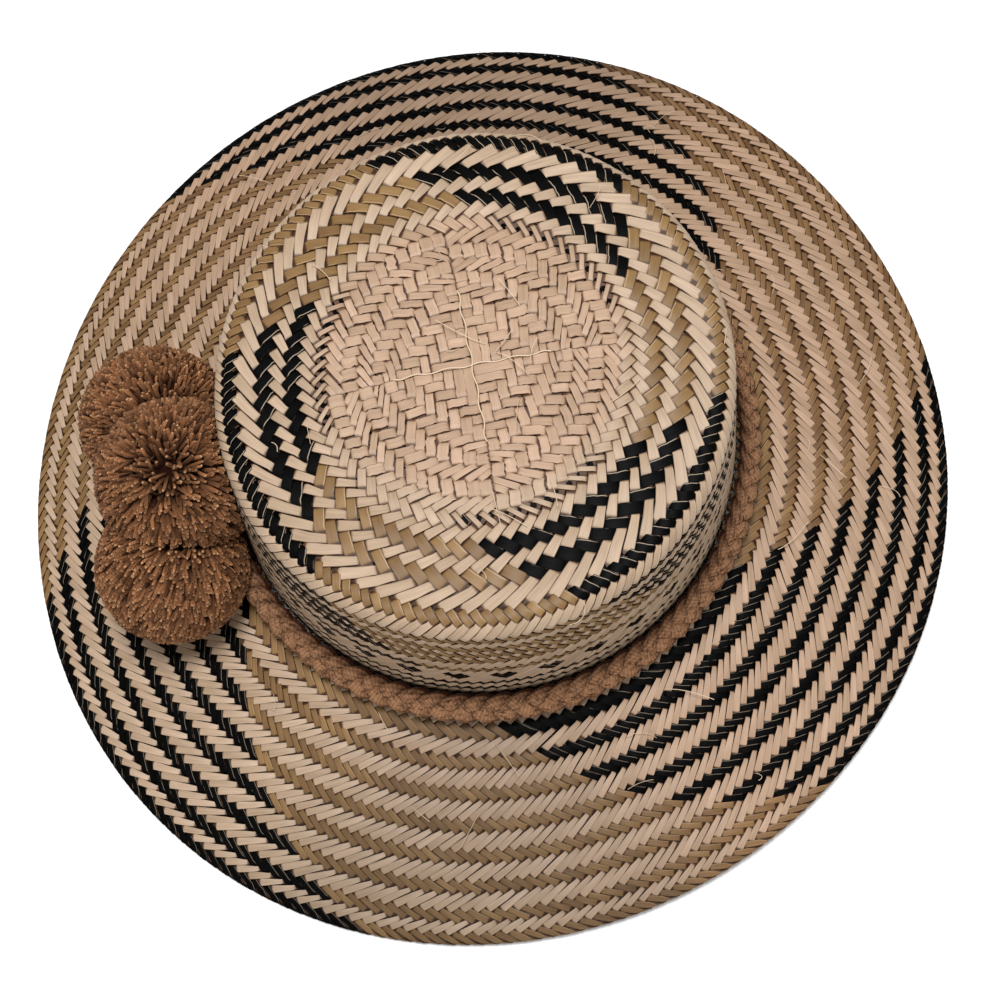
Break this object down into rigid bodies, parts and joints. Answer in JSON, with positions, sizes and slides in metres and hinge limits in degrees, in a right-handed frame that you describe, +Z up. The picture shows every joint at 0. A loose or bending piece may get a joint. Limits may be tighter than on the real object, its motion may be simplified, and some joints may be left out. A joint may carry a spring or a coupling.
{
  "type": "plaited straw hat",
  "caption": "Wide-brimmed plaited straw hat with a flat round crown, a wool braid band and wool pompoms at the side.",
  "frame": {"origin": "under the middle of the hat's outline, on the plane that the brim lies on", "axes": "+Z up through the crown, +X to the right and +Y to the back as the hat is seen in the picture"},
  "size_m": [0.3504, 0.3696, 0.09],
  "materials": {
    "straw": "plaited dry straw with dyed strips, slightly glossy",
    "wool": "matte brown wool yarn"
  },
  "bodies": {
    "root": {"straw_body": "straw", "braid_band": "wool", "pompom_upper": "wool", "pompom_middle": "wool", "pompom_lower": "wool"}
  },
  "joints": []
}
